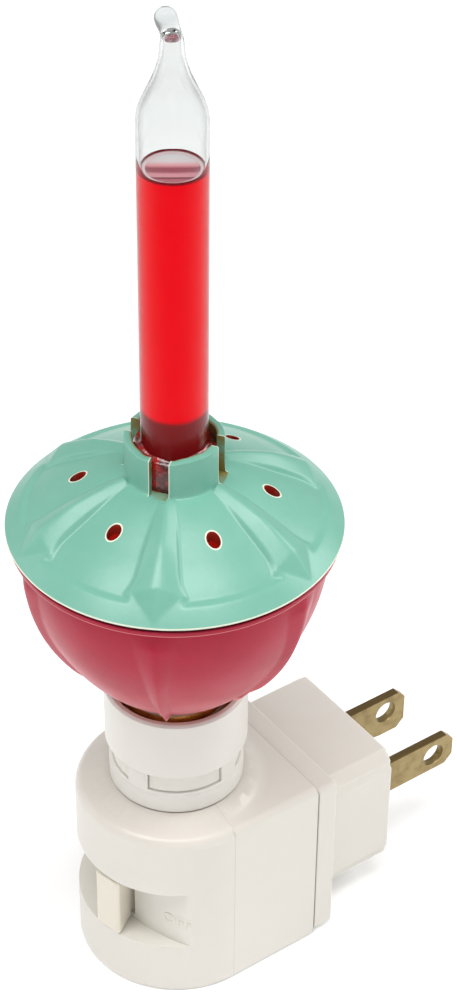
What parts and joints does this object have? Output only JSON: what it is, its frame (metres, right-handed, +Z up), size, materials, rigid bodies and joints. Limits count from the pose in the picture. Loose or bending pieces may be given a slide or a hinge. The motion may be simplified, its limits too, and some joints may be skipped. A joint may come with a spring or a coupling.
{
  "type": "plug-in bubble night light",
  "caption": "Plug-in night light: ivory housing with swivelling flat-blade plug, slide switch and screw socket, holding a bubble lamp with raspberry bowl, mint cap and red liquid tube.",
  "frame": {"origin": "where the socket and lamp axis meets the flat underside of the housing", "axes": "+Z up along the socket and lamp axis, +Y towards the plug blades, -Y the rounded front with the switch, +X to the right seen from the front"},
  "size_m": [0.0486, 0.0751, 0.162],
  "materials": {
    "shell": "satin moulded ivory plastic",
    "sleeve": "satin moulded ivory plastic",
    "lever": "satin moulded ivory plastic",
    "insulator": "matt moulded plastic",
    "steel": "zinc plated",
    "contact_brass": "rolled strip",
    "blade": "polished strip with fine scratches",
    "lamp_brass": "drawn sheet",
    "vitrite": "black glass",
    "solder": "soldered button",
    "cement": "dull cement",
    "bulb_glass": "clear glass",
    "wire": "drawn wire",
    "tungsten": "coiled wire",
    "bowl_plastic": "raspberry moulded plastic",
    "cap_plastic": "mint green moulded plastic",
    "tube_glass": "clear glass",
    "fluid": "clear red liquid",
    "chips": "boiling granules"
  },
  "bodies": {
    "fixture": {"front_shell": "shell", "rear_shell": "shell", "housing_screws": "steel", "socket_sleeve": "sleeve", "socket_base": "insulator", "socket_shell": "contact_brass", "centre_leaf": "contact_brass", "neutral_finger": "contact_brass", "line_finger": "contact_brass"},
    "switch": {"switch_lever": "lever", "switch_wiper": "contact_brass"},
    "plug": {"plug_cover": "shell", "plug_carrier": "insulator", "line_link": "contact_brass", "neutral_link": "contact_brass", "contact_ring": "contact_brass", "swivel_clip": "steel", "blade_line": "blade", "blade_neutral": "blade"},
    "lamp_foot": {"base_insulator": "vitrite", "base_contact": "solder"},
    "lamp": {"screw_shell": "lamp_brass", "base_cement": "cement", "bulb_glass": "bulb_glass", "bulb_stem": "bulb_glass", "support_wires": "wire", "filament": "tungsten", "lead_wires": "wire", "bowl": "bowl_plastic", "cap": "cap_plastic", "glass_tube": "tube_glass", "boiling_chips": "chips", "bubble_fluid": "fluid", "tube_cement": "cement"}
  },
  "joints": [
    {"name": "switch_turn", "type": "hinge", "parent": "fixture", "child": "switch", "pos_m": [0, 0, 0.01575], "axis": [0, 0, 1], "range_deg": [-24, 0]},
    {"name": "plug_swivel", "type": "hinge", "parent": "fixture", "child": "plug", "pos_m": [0, 0.0158, 0.0159], "axis": [0, 1, 0], "range_deg": [0, 90]},
    {"name": "lamp_lift", "type": "slide", "parent": "fixture", "child": "lamp_foot", "axis": [0, 0, 1], "range_m": [0, 0.0086]},
    {"name": "lamp_turn", "type": "hinge", "parent": "lamp_foot", "child": "lamp", "pos_m": [0, 0, 0.05], "axis": [0, 0, 1], "range_deg": [0, 1080]}
  ],
  "couplings": [
    {"joint": "lamp_lift", "follows": "lamp_turn", "m_per_rad": 0.00044882}
  ]
}
